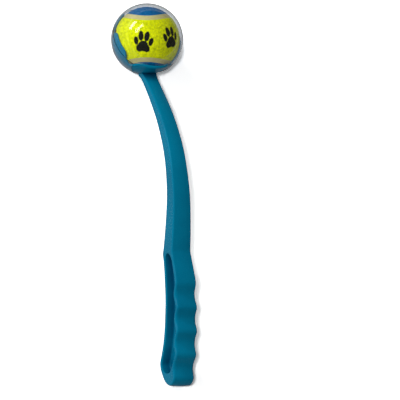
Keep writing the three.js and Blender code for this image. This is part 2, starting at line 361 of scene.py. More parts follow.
def bar_mesh():
    """The arm and grip: a rounded band round the outline, two side faces and the two recesses."""
    normal = eased(outward(bar_loop), OUTLINE_STEP, CORNER_REACH)
    arc = np.radians(np.linspace(0, 90, ROUND_POINTS))
    turn = (bar_loop[:, 0] - groove_start) / GROOVE_PITCH * 2 * math.pi
    on_top = (bar_loop[:, 0] > groove_start) & (bar_loop[:, 0] < groove_end) & (normal[:, 1] > 0)
    deep = np.where(on_top, (1 - np.cos(turn)) / 2, 0)
    to_recess = np.linalg.norm(bar_loop[:, None] - recess_loop[None], axis=2).min(axis=1)
    room = to_recess - RIM_RADIUS - FACE_CROWN - EDGE_SUPPORT - EDGE_ROOM
    past_root = np.clip((np.linalg.norm(bar_loop, axis=1) - ROOT_RADIUS) / ROOT_BLEND, 0, 1)
    rounding = EDGE_RADIUS * (ROOT_EDGE_SHARE + (1 - ROOT_EDGE_SHARE) * past_root)
    inset_by = np.minimum(rounding + GROOVE_INSET * deep, room)
    down_by = EDGE_RADIUS + GROOVE_ROUND * deep
    half = [(FACE_CROWN + inset_by * (1 - math.cos(a)), down_by * (1 - math.sin(a))) for a in arc]
    side_inset = FACE_CROWN + inset_by + EDGE_SUPPORT
    half.append((side_inset, 0))
    band = [plate_point(bar_loop, normal, inset, down, 1) for inset, down in half[::-1]]
    wide = half_width(bar_loop[:, 0]) - down_by
    for share in np.linspace(BAND_REACH, -BAND_REACH, BAND_ROWS):
        flat = bar_loop - normal * FACE_CROWN * share**2
        band.append(np.stack([flat[:, 0], wide * share, flat[:, 1]], axis=1))
    band += [plate_point(bar_loop, normal, inset, down, -1) for inset, down in half]
    points = [np.vstack(band)]
    faces = list(strips(len(band), len(bar_loop)))
    total = len(points[0])
    side_loop = bar_loop - normal * side_inset[:, None]
    inward = outward(recess_loop)
    for hand in (1, -1):
        hollow = [(-RIM_RADIUS * (1 - math.sin(a)), RIM_RADIUS * (1 - math.cos(a))) for a in arc]
        rings = [plate_point(recess_loop, inward, inset, down, hand) for inset, down in hollow]
        for drop in WALL_DROPS:
            top = plate_point(recess_loop, inward, WALL_DRAFT * drop, RIM_RADIUS, hand)
            low = web_point(recess_loop, inward, WALL_DRAFT * drop, FLOOR_RADIUS, hand)
            rings.append(top * (1 - drop) + low * drop)
        for a in arc[1:]:
            inset = WALL_DRAFT + FLOOR_RADIUS * (1 - math.cos(a))
            rings.append(web_point(recess_loop, inward, inset, FLOOR_RADIUS * (1 - math.sin(a)), hand))
        points.append(np.vstack(rings))
        faces += [tuple(i + total for i in f) for f in strips(len(rings), len(recess_loop))]
        total += len(points[-1])
        floor_loop = recess_loop - inward * (WALL_DRAFT + FLOOR_RADIUS)
        rim_loop = recess_loop + inward * RIM_RADIUS
        for spots, tris, level in (
            (*filled(side_loop, rim_loop, FACE_STEP), None),
            (*filled(floor_loop, None, FACE_STEP), WEB / 2),
        ):
            across = half_width(spots[:, 0]) if level is None else np.full(len(spots), level)
            points.append(np.stack([spots[:, 0], hand * across, spots[:, 1]], axis=1))
            faces += [tuple(i + total for i in f) for f in tris]
            total += len(spots)
    return closed_mesh("thrower_moulding", to_row(np.vstack(points)), faces, 2 * WELD_METRES)


bar = bar_mesh()

# Cup, the moulding's other end: a thin bowl that hugs the ball with five rounded fingers, and a low lip
# at the arm for scooping the ball up. Its rim is rounded over the wall's thickness.
CUP_INNER = 32.05
CUP_WALL = 1.8
RIM_ANGLE = 81
NOTCH_SHARPNESS = 1.5
LIP_THICKER = 1.3
LIP_HALF = 17
LIP_FADE = 12
LIP_DEPTH_SHARE = 0.06
AZIMUTHS = 288
BOWL_RINGS = 40
SHELL_RIM_POINTS = 9
SHARP_ANGLE = math.radians(50)
# Each pair of notches between fingers: its place round from the back finger, half its width, and the
# angle from the cup's axis at its bottom, all in degrees.
finger_notches = [(23, 19, 117), (68, 19, 117), (138, 24, 100)]
cup_turn = np.array(Matrix.Rotation(-CUP_TILT, 3, "Y"))


def cup_rim(azimuth):
    """Angle of the cup's rim from its axis, by degrees round from the back finger."""
    fall = np.zeros_like(azimuth)
    for place, half, bottom in finger_notches:
        share = np.clip(np.abs(np.abs(azimuth) - place) / half, 0, 1)
        dip = ((1 + np.cos(np.pi * share)) / 2) ** NOTCH_SHARPNESS
        fall = np.maximum(fall, (bottom - RIM_ANGLE) * dip)
    return RIM_ANGLE + fall


def lip_swell(azimuth):
    """How far the low lip at the arm is thickened, in millimetres, fading out on both sides."""
    aside = np.clip((180 - np.abs(azimuth) - LIP_HALF) / LIP_FADE, 0, 1)
    return LIP_THICKER * (1 + np.cos(np.pi * aside)) / 2


def no_swell(azimuth):
    """The same for a rim of even thickness."""
    return np.zeros_like(azimuth)


def shell_mesh(name, inner, wall, rim_at, pole_angle, rings, turn, swell_at=no_swell):
    """A bowl or dome between two radii, closed at its pole, with a rounded rim that may swell outwards."""
    azimuth = np.linspace(-180, 180, AZIMUTHS, endpoint=False)
    rim = rim_at(azimuth)
    swell = swell_at(azimuth)
    rounding = np.degrees((wall + swell) / 2 / (inner + wall / 2)) * np.sign(pole_angle - rim)
    span = rim + rounding - pole_angle
    profile = [(share, pole_angle + span * share) for share in np.linspace(0, 1, rings)[1:]]
    rows = [(1, share, polar) for share, polar in profile]
    for a in np.radians(np.linspace(0, 180, SHELL_RIM_POINTS)[1:-1]):
        rows.append(((1 + math.cos(a)) / 2, 1, rim + rounding * (1 - math.sin(a))))
    rows += [(0, share, polar) for share, polar in profile[::-1]]
    points = []
    for outside, share, polar in rows:
        near_rim = math.exp(-(((1 - share) / LIP_DEPTH_SHARE) ** 2))
        radius = inner + outside * (wall + swell * near_rim)
        out = radius * np.sin(np.radians(polar))
        height = radius * np.cos(np.radians(polar))
        spread = np.radians(azimuth)
        points.append(np.stack([-out * np.cos(spread), out * np.sin(spread), height], axis=1))
    faces = strips(len(rows), AZIMUTHS)
    count = len(rows) * AZIMUTHS
    pole = math.cos(math.radians(pole_angle))
    points.append(np.array([[0, 0, (inner + wall) * pole], [0, 0, inner * pole]]))
    for i in range(AZIMUTHS):
        j = (i + 1) % AZIMUTHS
        faces.append((j, i, count))
        faces.append((count - AZIMUTHS + i, count - AZIMUTHS + j, count + 1))
    return closed_mesh(name, to_row(np.vstack(points), turn), faces)


def linear(text):
    """An sRGB hex colour as linear red, green, blue and alpha."""
    parts = [int(text[i : i + 2], 16) / 255 for i in (1, 3, 5)]
    return (*(c / 12.92 if c <= 0.04045 else ((c + 0.055) / 1.055) ** 2.4 for c in parts), 1)


def add(tree, kind, inputs=None, **settings):
    """Adds a node to a tree, with its settings, and sets its inputs or links them to other nodes."""
    made = tree.nodes.new(kind)
    for name, value in settings.items():
        setattr(made, name, value)
    for socket, source in (inputs or {}).items():
        if isinstance(source, bpy.types.NodeSocket):
            tree.links.new(source, made.inputs[socket])
        else:
            made.inputs[socket].default_value = source
    return made


def new_material(name):
    """An empty material with its output node, and object coordinates."""
    material = bpy.data.materials.new(name)
    material.use_nodes = True
    material.node_tree.nodes.clear()
    place = add(material.node_tree, "ShaderNodeTexCoord").outputs["Object"]
    return material, place


def finish_material(material, shader):
    """Links a shader to the material's output."""
    add(material.node_tree, "ShaderNodeOutputMaterial", {"Surface": shader})
    return material


def teal_polypropylene():
    """Injection-moulded polypropylene: an even teal with a soft gloss, with painted shade that darkens it in
    its hollows and recesses. It has faint flow clouds 45 mm across, and handling scuffs that only break up
    its highlights. They are finer than the picture shows, so they are drawn 1.1 mm across."""
    material, place = new_material("teal_polypropylene_moulded")
    tree = material.node_tree
    cloud = add(tree, "ShaderNodeTexNoise", {"Vector": place, "Scale": 1 / (45 * MM), "Detail": 3.0})
    tint = add(tree, "ShaderNodeMapRange", {"Value": cloud.outputs[0], "From Min": 0.3, "From Max": 0.7})
    unshaded_teal = add(tree, "ShaderNodeMix", {
        "Factor": tint.outputs[0], 6: linear("#006B8B"), 7: linear("#007798")}, data_type="RGBA")
    # Painted shade: ambient occlusion darkens the teal towards a deep blue in hollows, recesses and under the
    # lip, where shade falls.
    hollow = add(tree, "ShaderNodeAmbientOcclusion", {"Distance": 24 * MM}, only_local=True)
    depth = add(tree, "ShaderNodeMapRange", {
        "Value": hollow.outputs["AO"], "From Min": 0.78, "From Max": 0.32})
    color = add(tree, "ShaderNodeMix", {
        "Factor": depth.outputs[0], 6: unshaded_teal.outputs[2], 7: linear("#00385A")}, data_type="RGBA")
    scuff = add(tree, "ShaderNodeTexNoise", {"Vector": place, "Scale": 1 / (1.1 * MM), "Detail": 4.0})
    rough = add(tree, "ShaderNodeMapRange", {
        "Value": scuff.outputs[0], "From Min": 0.3, "From Max": 0.7, "To Min": 0.2, "To Max": 0.3})
    bump = add(tree, "ShaderNodeBump", {"Height": scuff.outputs[0], "Strength": 0.08, "Distance": 0.1 * MM})
    plastic = add(tree, "ShaderNodeBsdfPrincipled", {
        "Base Color": color.outputs[2], "Roughness": rough.outputs[0], "Normal": bump.outputs[0],
        "IOR": 1.49, "Specular IOR Level": 0.07})
    return finish_material(material, plastic.outputs[0])


cup = shell_mesh("cup_bowl", CUP_INNER, CUP_WALL, cup_rim, 180, BOWL_RINGS, cup_turn, lip_swell)
join = bar.modifiers.new("join_cup", "BOOLEAN")
join.operation = "UNION"
join.solver = "EXACT"
join.object = cup


def baked(piece):
    """Applies a piece's modifiers to its mesh."""
    evaluated = piece.evaluated_get(bpy.context.evaluated_depsgraph_get())
    mesh = bpy.data.meshes.new_from_object(evaluated)
    piece.modifiers.clear()
    piece.data = mesh
    mesh.shade_smooth()
    mesh.set_sharp_from_angle(angle=SHARP_ANGLE)


baked(bar)
bpy.data.objects.remove(cup)
bar.data.materials.clear()
bar.data.materials.append(teal_polypropylene())
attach(bar, "thrower")
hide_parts("throwing_cup", "arm", "grip")


# Ball core: two half shells of moulded rubber, cemented at their rims and sealed. It lies under the felt
# and the cement, and gives the ball its bounce.
def natural_rubber():
    """Compression-moulded rubber: a dull charcoal, ground rough so that the felt's glue holds on it."""
    material, place = new_material("natural_rubber_buffed")
    tree = material.node_tree
    grain = add(tree, "ShaderNodeTexNoise", {"Vector": place, "Scale": 1 / (0.8 * MM), "Detail": 4.0})
    color = add(tree, "ShaderNodeMix", {
        "Factor": grain.outputs[0], 6: linear("#242424"), 7: linear("#3A3836")}, data_type="RGBA")
    bump = add(tree, "ShaderNodeBump", {"Height": grain.outputs[0], "Strength": 0.4, "Distance": 0.15 * MM})
    rubber = add(tree, "ShaderNodeBsdfPrincipled", {
        "Base Color": color.outputs[2], "Roughness": 0.85, "Normal": bump.outputs[0], "IOR": 1.52})
    return finish_material(material, rubber.outputs[0])


rubber = natural_rubber()
for half in ("core_half_front", "core_half_rear"):
    slots = frame["nodes"][half].data.materials
    slots.clear()
    slots.append(rubber)


# Felt panels: two dog-bone pieces of brushed felt, cut alike and glued round the core. One is dyed
# yellow and printed with paw marks in black ink, and the other is dyed blue. Their edges roll over.
BALL_RADIUS = 31.5
FELT_THICKNESS = 2.9
FELT_EDGE = 0.9
FELT_STEP = 0.8
FELT_BACK_STEP = 3
SEAM_WIDTH = 3.8
SEAM_GAP = 0.3
SEAM_WAIST = math.radians(40)
SEAM_STEPS = 360
BALL_ROLL = math.radians(25)
SEAM_EDGE_POINTS = 6
FAR_OFF = 99.0
TINY = 1e-9
FLATTEST_SLOPE = 1e-6
ball_turn = np.array(Matrix.Rotation(BALL_ROLL, 3, "X"))


def seam_directions():
    """Directions from the ball's centre along its seam, a closed curve with two waists."""
    turn = np.linspace(0, 2 * math.pi, SEAM_STEPS, endpoint=False)
    wide = (1 + math.sin(SEAM_WAIST)) / 2
    narrow = 1 - wide
    across = wide * np.cos(turn) - narrow * np.cos(3 * turn)
    along = wide * np.sin(turn) + narrow * np.sin(3 * turn)
    points = np.stack([across, along, 2 * math.sqrt(wide * narrow) * np.cos(2 * turn)], axis=1)
    return points / np.linalg.norm(points, axis=1)[:, None]


def beside_seam(aside, radius, pole):
    """The line that runs aside millimetres from the seam's middle, on the side of one pole."""
    here = seam_directions()
    side = np.cross(here, np.roll(here, -1, axis=0) - np.roll(here, 1, axis=0))
    side *= pole * np.sign(side[0, 2]) / np.linalg.norm(side, axis=1)[:, None]
    return radius * (here * math.cos(aside / radius) + side * math.sin(aside / radius))


def unrolled(points, pole):
    """Points on a sphere laid flat round one pole, at their true distances from it."""
    radius = np.linalg.norm(points, axis=1)
    away = np.arccos(np.clip(pole * points[:, 2] / radius, -1, 1))
    spread = np.linalg.norm(points[:, :2], axis=1)
    return points[:, :2] * (away * radius / np.maximum(spread, TINY))[:, None]


def rolled(flat, radius, pole):
    """The way back from unrolled."""
    away = np.linalg.norm(flat, axis=1)
    out = radius * np.sin(away / radius) / np.maximum(away, TINY)
    return np.column_stack([flat * out[:, None], pole * radius * np.cos(away / radius)])


# Each paw mark: its place round the ball, its height on the band, its lean. Then a mark's own blobs:
# where each lies from the mark's middle, half its width and height, and its lean. Degrees and mm.
paw_marks = [(-6, -4, -6), (48, 0.6, 7), (103, -1.5, -14), (-90, 2.5, 12), (-131, -3, -8)]
toe_blobs = [(-7.3, 1.4, 2, 3.8, 12), (-2.9, 6.4, 2.3, 4.6, 5), (2.9, 6.4, 2.3, 4.6, -5),
             (7.3, 1.4, 2, 3.8, -12)]
pad_blobs = [(0, -2.4, 4.3, 4.1, 0), (-3.8, -5.8, 2.8, 3, 20), (3.8, -5.8, 2.8, 3, -20),
             (0, -4.8, 3.4, 2.6, 0)]
PAD_MELT = 0.8


def blob_distance(spot, blob):
    """Millimetres from a tilted ellipse's edge, less than nothing inside it."""
    x, y, half_wide, half_high, lean = blob
    c, s = math.cos(math.radians(lean)), math.sin(math.radians(lean))
    dx, dy = spot[:, 0] - x, spot[:, 1] - y
    px, py = (c * dx + s * dy) / half_wide, (c * dy - s * dx) / half_high
    reach = np.hypot(px, py)
    slope = np.maximum(np.hypot(px / half_wide, py / half_high), FLATTEST_SLOPE)
    return reach * (reach - 1) / slope


def paw_distance(points):
    """Millimetres from the nearest paw mark's edge, for points about the ball's centre."""
    nearest = np.full(len(points), FAR_OFF)
    for place, height, lean in paw_marks:
        to_front = np.array(Matrix.Rotation(math.radians(place), 3, "X"))
        flat = unrolled(points @ to_front.T, 1)
        c, s = math.cos(math.radians(lean)), math.sin(math.radians(lean))
        right, up = flat[:, 1], -flat[:, 0] - height
        spot = np.column_stack([c * right + s * up, c * up - s * right])
        toes = np.min([blob_distance(spot, toe) for toe in toe_blobs], axis=0)
        melted = sum(np.exp(-blob_distance(spot, pad) / PAD_MELT) for pad in pad_blobs)
        pad = -PAD_MELT * np.log(np.maximum(melted, TINY))
        behind = np.where(points @ to_front.T[:, 2] < 0, FAR_OFF, 0)
        nearest = np.minimum(nearest, np.minimum(toes, pad) + behind)
    return nearest


def felt_panel(name, pole):
    """One felt panel's shell, with the distance to the paw marks and where its nap grows on each point."""
    edge = SEAM_WIDTH / 2 + SEAM_GAP
    back = BALL_RADIUS - FELT_THICKNESS
    rings = [beside_seam(edge, back, pole)]
    for a in np.radians(np.linspace(0, 90, SEAM_EDGE_POINTS)):
        aside = edge + FELT_EDGE * (1 - math.cos(a))
        rings.append(beside_seam(aside, BALL_RADIUS - FELT_EDGE * (1 - math.sin(a)), pole))
    points = [np.vstack(rings)]
    faces = strips(len(rings), SEAM_STEPS)
    for ring, step in ((rings[-1], FELT_STEP), (rings[0], FELT_BACK_STEP)):
        total = sum(len(p) for p in points)
        spots, tris = filled(unrolled(ring, pole), None, step)
        points.append(rolled(spots, np.linalg.norm(ring[0]), pole))
        faces += [tuple(i + total for i in f) for f in tris]
    panel = closed_mesh(name, to_row(np.vstack(points), ball_turn), faces)
    placed = np.array([v.co for v in panel.data.vertices])
    local = ((placed - ball_centre) / MM) @ (tip_over @ ball_turn)
    marks = paw_distance(local) if pole > 0 else np.full(len(local), FAR_OFF)
    outside = np.linalg.norm(local, axis=1) > BALL_RADIUS - FELT_EDGE / 2
    for attribute, values in (("paw_mm", marks), ("nap", outside.astype(float))):
        panel.data.attributes.new(attribute, "FLOAT", "POINT").data.foreach_set("value", values)
    return panel


def brushed_felt(name, dark, light):
    """Needled wool felt, brushed up: matt, mottled where fibres bunch, with a faint sheen at the ball's
    edge. Its fibres are finer than the picture shows, so the bunches are drawn about 2 mm across."""
    material, place = new_material(name)
    tree = material.node_tree
    bunch = add(tree, "ShaderNodeTexNoise", {
        "Vector": place, "Scale": 1 / (2.2 * MM), "Detail": 5.0, "Roughness": 0.7})
    tint = add(tree, "ShaderNodeMapRange", {"Value": bunch.outputs[0], "From Min": 0.3, "From Max": 0.62})
    dyed = add(tree, "ShaderNodeMix", {
        "Factor": tint.outputs[0], 6: linear(dark), 7: linear(light)}, data_type="RGBA")
    mark = add(tree, "ShaderNodeAttribute", attribute_name="paw_mm")
    ragged = add(tree, "ShaderNodeMath", {0: bunch.outputs[0], 1: 1.2, 2: -0.6}, operation="MULTIPLY_ADD")
    edge = add(tree, "ShaderNodeMath", {0: mark.outputs["Fac"], 1: ragged.outputs[0]}, operation="ADD")
    inked = add(tree, "ShaderNodeMapRange", {
        "Value": edge.outputs[0], "From Min": 0.0, "From Max": 0.5, "To Min": 1.0, "To Max": 0.0})
    color = add(tree, "ShaderNodeMix", {
        "Factor": inked.outputs[0], 6: dyed.outputs[2], 7: linear("#121412")}, data_type="RGBA")
    fibre = add(tree, "ShaderNodeTexNoise", {"Vector": place, "Scale": 1 / (0.5 * MM), "Detail": 3.0})
    bump = add(tree, "ShaderNodeBump", {"Height": fibre.outputs[0], "Strength": 0.35, "Distance": 0.25 * MM})
    felt = add(tree, "ShaderNodeBsdfPrincipled", {
        "Base Color": color.outputs[2], "Roughness": 0.95, "Normal": bump.outputs[0],
        "Specular IOR Level": 0.1, "Sheen Weight": 0.08, "Sheen Roughness": 0.5, "Sheen Tint": linear(light)})
    return finish_material(material, felt.outputs[0])


# Fibres lean up to this far from the felt's surface and turn any way round it, in radians, and are cut to
# this share of the full length or more. More of the felt's noise lies below its middle than above.
FIBRE_LEAN = 1.1
FIBRE_TURN = 3.1
FIBRE_SHORTEST = 0.5
FELT_LEVEL = 0.6


def sized_tree(name, sockets):
    """A Geometry Nodes tree with named inputs for its sizes, and those inputs."""
    tree = bpy.data.node_groups.new(name, "GeometryNodeTree")
    tree.interface.new_socket("Geometry", in_out="OUTPUT", socket_type="NodeSocketGeometry")
    for socket, kind in (("Geometry", "Geometry"), *sockets):
        tree.interface.new_socket(socket, in_out="INPUT", socket_type="NodeSocket" + kind)
    return tree, add(tree, "NodeGroupInput").outputs


def roughened(tree, surface, lump_size, lump_height, level, share=1.0):
    """Moves a surface along its normals by noise about a level, by less where its share is smaller."""
    scale = add(tree, "ShaderNodeMath", {0: 1.0, 1: lump_size}, operation="DIVIDE")
    lumps = add(tree, "ShaderNodeTexNoise", {"Scale": scale.outputs[0], "Detail": 2.0})
    centred = add(tree, "ShaderNodeMath", {0: lumps.outputs[0], 1: level}, operation="SUBTRACT")
    height = add(tree, "ShaderNodeMath", {0: centred.outputs[0], 1: lump_height}, operation="MULTIPLY")
    raised = add(tree, "ShaderNodeMath", {0: height.outputs[0], 1: share}, operation="MULTIPLY")
    normal = add(tree, "GeometryNodeInputNormal").outputs[0]
    push = add(tree, "ShaderNodeVectorMath", {0: normal, "Scale": raised.outputs[0]}, operation="SCALE")
    return add(tree, "GeometryNodeSetPosition", {"Geometry": surface, "Offset": push.outputs[0]}).outputs[0]


def finish_tree(tree, shape, material):
    """Ends a tree with real, dressed geometry."""
    real = add(tree, "GeometryNodeRealizeInstances", {"Geometry": shape})
    dressed = add(tree, "GeometryNodeSetMaterial", {"Geometry": real.outputs[0], "Material": material})
    add(tree, "NodeGroupOutput", {0: dressed.outputs[0]})
    return tree


def nap_tree():
    """Geometry Nodes that roughen a felt panel and set short, lying fibres all over its outside."""
    tree, sizes = sized_tree("brushed_nap", [
        ("Fibres per m2", "Float"), ("Fibre length", "Float"), ("Fibre radius", "Float"),
        ("Lump height", "Float"), ("Lump size", "Float"), ("Seed", "Int"), ("Felt", "Material")])
    nap = add(tree, "GeometryNodeInputNamedAttribute", {"Name": "nap"}, data_type="FLOAT")
    rough = roughened(
        tree, sizes["Geometry"], sizes["Lump size"], sizes["Lump height"], FELT_LEVEL, nap.outputs[0])
    density = add(tree, "ShaderNodeMath", {
        0: nap.outputs[0], 1: sizes["Fibres per m2"]}, operation="MULTIPLY")
    spots = add(tree, "GeometryNodeDistributePointsOnFaces", {
        "Mesh": rough, "Density": density.outputs[0], "Seed": sizes["Seed"]})
    cone = add(tree, "GeometryNodeMeshCone", {
        "Vertices": 3, "Radius Bottom": sizes["Fibre radius"], "Depth": sizes["Fibre length"]})
    lean = add(tree, "FunctionNodeRandomValue", {
        0: (-FIBRE_LEAN, -FIBRE_LEAN, -FIBRE_TURN), 1: (FIBRE_LEAN, FIBRE_LEAN, FIBRE_TURN),
        "Seed": sizes["Seed"]}, data_type="FLOAT_VECTOR")
    tilt = add(tree, "FunctionNodeEulerToRotation", {0: lean.outputs[0]})
    turned = add(tree, "FunctionNodeRotateRotation", {
        0: spots.outputs["Rotation"], 1: tilt.outputs[0]}, rotation_space="LOCAL")
    grown = add(tree, "FunctionNodeRandomValue", {
        2: FIBRE_SHORTEST, 3: 1.0, "Seed": sizes["Seed"]}, data_type="FLOAT")
    fibres = add(tree, "GeometryNodeInstanceOnPoints", {
        "Points": spots.outputs[0], "Instance": cone.outputs[0], "Rotation": turned.outputs[0],
        "Scale": grown.outputs[1]})
    both = add(tree, "GeometryNodeJoinGeometry")
    tree.links.new(rough, both.inputs[0])
    tree.links.new(fibres.outputs[0], both.inputs[0])
    return finish_tree(tree, both.outputs[0], sizes["Felt"])


def grow(piece, tree, **inputs):
    """Runs a Geometry Nodes tree on a piece with its named inputs, and keeps the result as its mesh."""
    modifier = piece.modifiers.new(tree.name, "NODES")
    modifier.node_group = tree
    for socket in tree.interface.items_tree:
        key = socket.name.replace(" ", "_").lower()
        if socket.in_out == "INPUT" and key in inputs:
            modifier[socket.identifier] = inputs[key]
    baked(piece)


nap = nap_tree()
felts = (
    ("yellow", "felt_yellow_printed", 1, brushed_felt("wool_felt_brushed_yellow", "#A2B000", "#F4F800")),
    ("blue", "felt_blue_plain", -1, brushed_felt("wool_felt_brushed_blue", "#005084", "#0068A0")),
)
for color_name, piece_name, pole, felt in felts:
    panel = felt_panel(piece_name, pole)
    grow(panel, nap, fibres_per_m2=2.6e6, fibre_length=0.5 * MM, fibre_radius=0.05 * MM,
         lump_height=0.24 * MM, lump_size=1.5 * MM, seed=7, felt=felt)
    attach(panel, "ball")
    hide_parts("felt_panel_" + color_name)


# Cement seam: a bead of cream rubber cement in the groove between the felt panels. It cures a little
# below the felt, with a dull, slightly grainy skin.
SEAM_SINK = 0.15
SEAM_ROUND = 0.3
SEAM_GRAIN = 0.12
SEAM_GRAIN_SIZE = 1.2
SEAM_OVERLAP = 1.15
SEAM_SECTION_POINTS = 40
SEAM_LEVEL = 0.7


def rubber_cement():
    """Dip-coated natural rubber cement, cured: cream, dull, with a fine pitted skin."""
    material, place = new_material("rubber_cement_cured")
    tree = material.node_tree
    mottle = add(tree, "ShaderNodeTexNoise", {"Vector": place, "Scale": 1 / (2.5 * MM), "Detail": 4.0})
    color = add(tree, "ShaderNodeMix", {
        "Factor": mottle.outputs[0], 6: linear("#B9AD6C"), 7: linear("#D2C78E")}, data_type="RGBA")
    pits = add(tree, "ShaderNodeTexNoise", {"Vector": place, "Scale": 1 / (0.5 * MM), "Detail": 2.0})
    bump = add(tree, "ShaderNodeBump", {"Height": pits.outputs[0], "Strength": 0.4, "Distance": 0.15 * MM})
    cement = add(tree, "ShaderNodeBsdfPrincipled", {
        "Base Color": color.outputs[2], "Roughness": 0.7, "Normal": bump.outputs[0], "IOR": 1.52,
        "Specular IOR Level": 0.3})
    return finish_material(material, cement.outputs[0])


def bead_tree():
    """Geometry Nodes that run a rounded, slightly grainy bead along a curve on the ball."""
    tree, sizes = sized_tree("cement_bead", [
        ("Centre", "Vector"), ("Width", "Float"), ("Depth", "Float"), ("Round", "Float"),
        ("Section points", "Int"), ("Grain", "Float"), ("Grain size", "Float"), ("Cement", "Material")])
    place = add(tree, "GeometryNodeInputPosition").outputs[0]
    outwards = add(tree, "ShaderNodeVectorMath", {0: place, 1: sizes["Centre"]}, operation="SUBTRACT")
    path = add(tree, "GeometryNodeMeshToCurve", {"Mesh": sizes["Geometry"]})
    line = add(tree, "GeometryNodeSetCurveNormal", {
        "Curve": path.outputs[0], "Normal": outwards.outputs[0]}, mode="FREE")
    block = add(tree, "GeometryNodeCurvePrimitiveQuadrilateral", {
        "Width": sizes["Depth"], "Height": sizes["Width"]})
    soft = add(tree, "GeometryNodeFilletCurve", {
        "Curve": block.outputs[0], "Radius": sizes["Round"], "Count": 4}, mode="POLY")
    section = add(tree, "GeometryNodeResampleCurve", {
        "Curve": soft.outputs[0], "Count": sizes["Section points"]})
    bead = add(tree, "GeometryNodeCurveToMesh", {
        "Curve": line.outputs[0], "Profile Curve": section.outputs[0]})
    grained = roughened(tree, bead.outputs[0], sizes["Grain size"], sizes["Grain"], SEAM_LEVEL)
    return finish_tree(tree, grained, sizes["Cement"])


seam_low = BALL_RADIUS - FELT_THICKNESS
seam_top = BALL_RADIUS - SEAM_SINK
seam_path = to_row(seam_directions() * (seam_low + seam_top) / 2, ball_turn)
bead_mesh = bpy.data.meshes.new("cement_bead")
bead_mesh.from_pydata(seam_path.tolist(), [(i, (i + 1) % SEAM_STEPS) for i in range(SEAM_STEPS)], [])
bead = new_object("cement_bead", bead_mesh)
grow(bead, bead_tree(), centre=tuple(ball_centre), width=(SEAM_WIDTH + 2 * SEAM_OVERLAP) * MM,
     depth=(seam_top - seam_low) * MM, round=SEAM_ROUND * MM, section_points=SEAM_SECTION_POINTS,
     grain=SEAM_GRAIN * MM, grain_size=SEAM_GRAIN_SIZE * MM, cement=rubber_cement())
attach(bead, "ball")
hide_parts("cement_seam")


# Clear cover: two bowls of clear sheet, thermoformed and trimmed, that keep the ball clean on the shelf.
# Their rims meet round the ball's middle, and a mouth parted between them leaves room for lip and arm.
COVER_INNER = 34.3
COVER_WALL = 0.5
COVER_OUTER = COVER_INNER + COVER_WALL
COVER_RIM_ANGLE = 90.0
COVER_PART = 0.3
COVER_RINGS = 40
MOUTH_WIDTH = 41
MOUTH_RISE = 7
MOUTH_PLAY = 1
MOUTH_STEPS = 48
CUT_PAST = 4


def even_rim(azimuth):
    """Angle of a cover's rim from its pole, the same all round."""
    return np.full_like(azimuth, COVER_RIM_ANGLE)


def clear_sheet():
    """Clear polyester sheet, vacuum formed: thin, glassy and faintly cool, with soft ripples from the
    mould in its highlights. It lets lamps through, because so thin a wall casts no shadow."""
    material, place = new_material("clear_sheet_thermoformed")
    tree = material.node_tree
    ripple = add(tree, "ShaderNodeTexNoise", {"Vector": place, "Scale": 1 / (14 * MM), "Detail": 2.0})
    bump = add(tree, "ShaderNodeBump", {"Height": ripple.outputs[0], "Strength": 0.25, "Distance": 0.4 * MM})
    slant = add(tree, "ShaderNodeLayerWeight", {"Blend": 0.5})
    path = add(tree, "ShaderNodeMath", {0: slant.outputs["Facing"], 1: 4.0}, operation="POWER")
    tint = add(tree, "ShaderNodeMix", {
        "Factor": path.outputs[0], 6: linear("#FCFDFE"), 7: linear("#9FB3BD")}, data_type="RGBA")
    sheet = add(tree, "ShaderNodeBsdfPrincipled", {
        "Base Color": tint.outputs[2], "Roughness": 0.05, "IOR": 1.33, "Transmission Weight": 1.0,
        "Normal": bump.outputs[0]})
    open_way = add(tree, "ShaderNodeBsdfTransparent", {"Color": linear("#FBFDFF")})
    ray = add(tree, "ShaderNodeLightPath")
    lets_through = add(tree, "ShaderNodeMath", {
        0: ray.outputs["Is Shadow Ray"], 1: ray.outputs["Is Diffuse Ray"]}, operation="MAXIMUM")
    mixed = add(tree, "ShaderNodeMixShader", {
        0: lets_through.outputs[0], 1: sheet.outputs[0], 2: open_way.outputs[0]})
    return finish_material(material, mixed.outputs[0])


def mouth_cutter(height):
    """A bar whose section is half an ellipse, up or down from the parting, with some overrun past it."""
    turn = np.linspace(0, math.pi, MOUTH_STEPS)
    half = MOUTH_WIDTH / 2
    past = -math.copysign(CUT_PAST, height)
    outline = np.column_stack([half * np.cos(turn), height * np.sin(turn)])
    outline = np.vstack([(half, past), outline, (-half, past)])
    ends = [np.column_stack([np.full(len(outline), x), outline]) for x in (CUT_PAST, COVER_OUTER + CUT_PAST)]
    faces = strips(2, len(outline))
    faces += [tuple(range(len(outline))), tuple(range(len(outline), 2 * len(outline)))]
    return closed_mesh("mouth_cutter", to_row(np.vstack(ends), cup_turn), faces)


def cover_half(name, pole_angle, height):
    """One half of the cover: a dome with its share of the mouth cut out."""
    half = shell_mesh(name, COVER_INNER, COVER_WALL, even_rim, pole_angle, COVER_RINGS, cup_turn)
    cutter = mouth_cutter(height)
    cut = half.modifiers.new("cut_mouth", "BOOLEAN")
    cut.operation = "DIFFERENCE"
    cut.solver = "EXACT"
    cut.object = cutter
    baked(half)
    bpy.data.objects.remove(cutter)
    return half


clear = clear_sheet()
root = scaled(arm_shares[0])
root /= np.linalg.norm(root)
root_drop = COVER_OUTER * (root[0] * math.sin(CUP_TILT) - root[1] * math.cos(CUP_TILT))
front = cover_half("cover_front_dome", 0, MOUTH_RISE)
rear = cover_half("cover_rear_bowl", 180, -(root_drop + ROOT_DEPTH / 2 + MOUTH_PLAY))
lift = Vector(joints["cover_front_lift"]["axis"]) * COVER_PART * MM
front.data.transform(Matrix.Translation(lift))
for cover, body in ((front, "cover_front"), (rear, "cover_rear")):
    cover.data.materials.append(clear)
    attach(cover, body)
    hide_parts(body)


